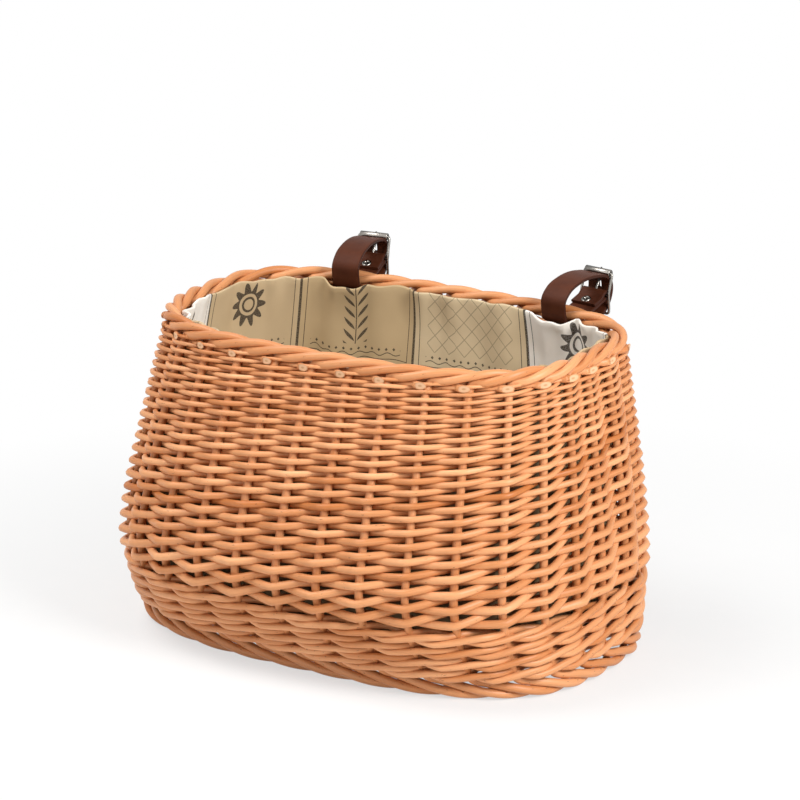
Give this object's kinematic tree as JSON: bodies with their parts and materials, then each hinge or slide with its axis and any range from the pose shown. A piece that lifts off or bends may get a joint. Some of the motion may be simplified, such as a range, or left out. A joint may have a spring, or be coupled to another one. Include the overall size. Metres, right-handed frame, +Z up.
{
  "type": "bicycle basket",
  "caption": "Willow wicker bicycle basket with a bellied front, flat back, twisted rim border, cotton lining and buckled leather straps that loop over a handlebar.",
  "frame": {"origin": "on the surface that the foot stands on, under the middle of the part's box", "axes": "+X along the long side, to the right seen from the front; +Y towards the back with the straps; +Z up"},
  "size_m": [0.4136, 0.3216, 0.2776],
  "materials": {
    "willow": "peeled buff willow, satin",
    "base_willow": "woven willow, satin",
    "cotton": "printed cotton",
    "leather": "waxed dark brown",
    "nickel": "nickel plated"
  },
  "bodies": {
    "basket": {"stake_01": "willow", "stake_02": "willow", "stake_03": "willow", "stake_04": "willow", "stake_05": "willow", "stake_06": "willow", "stake_07": "willow", "stake_08": "willow", "stake_09": "willow", "stake_10": "willow", "stake_11": "willow", "stake_12": "willow", "stake_13": "willow", "stake_14": "willow", "stake_15": "willow", "stake_16": "willow", "stake_17": "willow", "stake_18": "willow", "stake_19": "willow", "stake_20": "willow", "stake_21": "willow", "stake_22": "willow", "stake_23": "willow", "stake_24": "willow", "stake_25": "willow", "stake_26": "willow", "stake_27": "willow", "stake_28": "willow", "stake_29": "willow", "stake_30": "willow", "stake_31": "willow", "wale_1": "willow", "wale_2": "willow", "wale_3": "willow", "side_weave": "willow", "base_panel": "base_willow", "base_stick_1": "willow", "base_stick_2": "willow", "base_stick_3": "willow", "base_stick_4": "willow", "base_stick_5": "willow", "lining_wall": "cotton", "lining_floor": "cotton"},
    "left_strap": {"left_strap": "leather", "left_buckle_frame": "nickel", "left_rivet": "nickel"},
    "left_roller": {"left_roller": "nickel"},
    "left_prong": {"left_prong": "nickel"},
    "right_strap": {"right_strap": "leather", "right_buckle_frame": "nickel", "right_rivet": "nickel"},
    "right_roller": {"right_roller": "nickel"},
    "right_prong": {"right_prong": "nickel"}
  },
  "joints": [
    {"name": "left_strap_swing", "type": "hinge", "parent": "basket", "child": "left_strap", "pos_m": [-0.0998, 0.11021, 0.2495], "axis": [0.9892, 0.1465, 0], "range_deg": [-12, 35]},
    {"name": "left_roller_spin", "type": "hinge", "parent": "left_strap", "child": "left_roller", "pos_m": [-0.1064, 0.15473, 0.275], "axis": [0.9892, 0.1465, 0], "continuous": true},
    {"name": "left_prong_swing", "type": "hinge", "parent": "left_strap", "child": "left_prong", "pos_m": [-0.1058, 0.15067, 0.2576], "axis": [0.9892, 0.1465, 0], "range_deg": [-25, 0]},
    {"name": "right_strap_swing", "type": "hinge", "parent": "basket", "child": "right_strap", "pos_m": [0.09984, 0.11021, 0.2495], "axis": [0.9892, -0.1465, 0], "range_deg": [-12, 35]},
    {"name": "right_roller_spin", "type": "hinge", "parent": "right_strap", "child": "right_roller", "pos_m": [0.10644, 0.15473, 0.275], "axis": [0.9892, -0.1465, 0], "continuous": true},
    {"name": "right_prong_swing", "type": "hinge", "parent": "right_strap", "child": "right_prong", "pos_m": [0.10584, 0.15067, 0.2576], "axis": [0.9892, -0.1465, 0], "range_deg": [-25, 0]}
  ]
}
